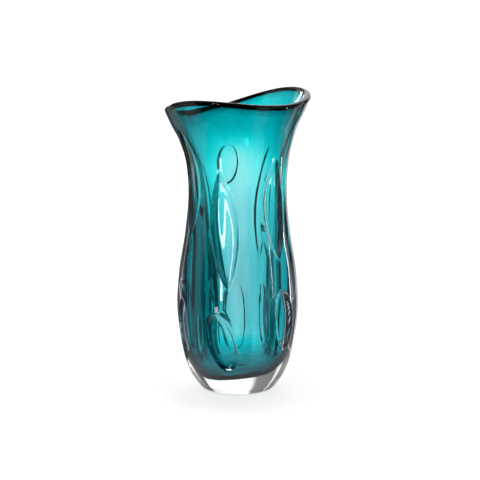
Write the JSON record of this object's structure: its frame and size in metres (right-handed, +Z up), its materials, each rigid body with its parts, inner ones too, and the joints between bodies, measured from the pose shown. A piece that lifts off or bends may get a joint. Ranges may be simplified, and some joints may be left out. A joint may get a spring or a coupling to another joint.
{
  "type": "art glass vase",
  "caption": "Tall hand blown glass vase with a teal inner bubble, clear dented casing, heavy clear foot and waved dark lip.",
  "frame": {"origin": "on the vase's axis, in the plane of the flat ring that it rests on", "axes": "+Z up along the vase's axis, -Y towards the front, +X to the right as seen from the front"},
  "size_m": [0.172, 0.172, 0.361],
  "materials": {
    "teal_glass": "fire polished transparent teal glass",
    "clear_glass": "fire polished clear furnace glass",
    "lip_glass": "fire polished, nearly opaque dark teal glass"
  },
  "bodies": {
    "root": {"lip_wrap": "lip_glass", "colour_vessel": "teal_glass", "clear_casing": "clear_glass", "foot_gather": "clear_glass"}
  },
  "joints": []
}
